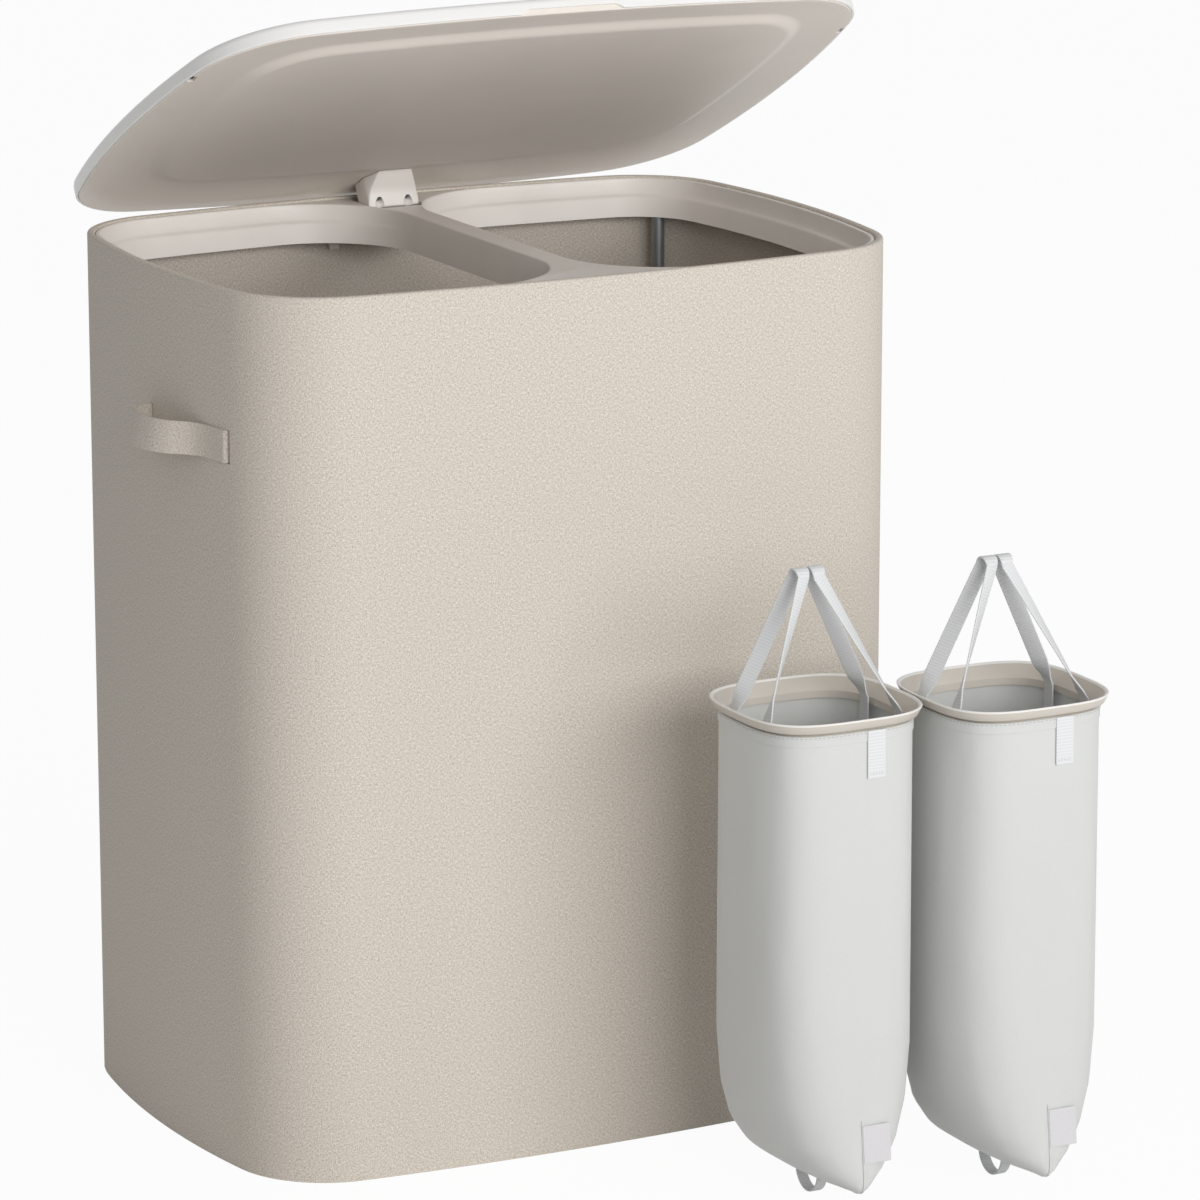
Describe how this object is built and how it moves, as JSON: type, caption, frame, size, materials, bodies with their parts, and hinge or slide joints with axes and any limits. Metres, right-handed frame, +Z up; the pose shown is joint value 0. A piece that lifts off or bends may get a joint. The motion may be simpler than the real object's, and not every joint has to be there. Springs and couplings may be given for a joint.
{
  "type": "laundry hamper with two bins",
  "caption": "Tall linen laundry hamper with a divided moulded frame, a hinged lid and lift-out laundry bags that stand beside it.",
  "frame": {"origin": "the middle of the hamper's base, on the floor", "axes": "+Z up, +X to the hamper's right as seen from the front, the front faces -Y and the hinge is at +Y"},
  "size_m": [0.6214, 0.704, 0.8778],
  "materials": {
    "linen": "woven linen look",
    "frame_plastic": "satin beige moulding",
    "panel_plastic": "satin beige moulding",
    "shell_plastic": "smooth white moulding",
    "tube_steel": "zinc grey",
    "bag_cloth": "smooth coated cloth",
    "webbing": "woven tape"
  },
  "bodies": {
    "hamper": {"fabric_body": "linen", "fabric_bottom": "linen", "side_handle_left": "linen", "side_handle_right": "linen", "base_tray": "frame_plastic", "corner_tube_front_left": "tube_steel", "corner_tube_front_right": "tube_steel", "corner_tube_back_left": "tube_steel", "corner_tube_back_right": "tube_steel", "top_frame": "frame_plastic", "hinge_pin": "tube_steel"},
    "lid": {"lid_shell": "shell_plastic", "lid_panel": "panel_plastic", "hinge_block": "frame_plastic", "hinge_screw_left": "tube_steel", "hinge_screw_right": "tube_steel"},
    "bag_left": {"bag_left_cloth": "bag_cloth", "bag_left_rim": "frame_plastic", "bag_left_strap_left": "webbing", "bag_left_strap_right": "webbing", "bag_left_tab": "webbing", "bag_left_label": "webbing", "bag_left_pull_loop": "webbing"},
    "bag_right": {"bag_right_cloth": "bag_cloth", "bag_right_rim": "frame_plastic", "bag_right_strap_left": "webbing", "bag_right_strap_right": "webbing", "bag_right_tab": "webbing", "bag_right_label": "webbing", "bag_right_pull_loop": "webbing"}
  },
  "joints": [
    {"name": "lid_hinge", "type": "hinge", "parent": "hamper", "child": "lid", "pos_m": [0, 0.1965, 0.65971], "axis": [-1, 0, 0], "range_deg": [-27.8, 72.2]},
    {"name": "bag_left_lift", "type": "slide", "parent": "hamper", "child": "bag_left", "axis": [0, 0, 1], "range_m": [0, 0.3]},
    {"name": "bag_right_lift", "type": "slide", "parent": "hamper", "child": "bag_right", "axis": [0, 0, 1], "range_m": [0, 0.3]}
  ]
}
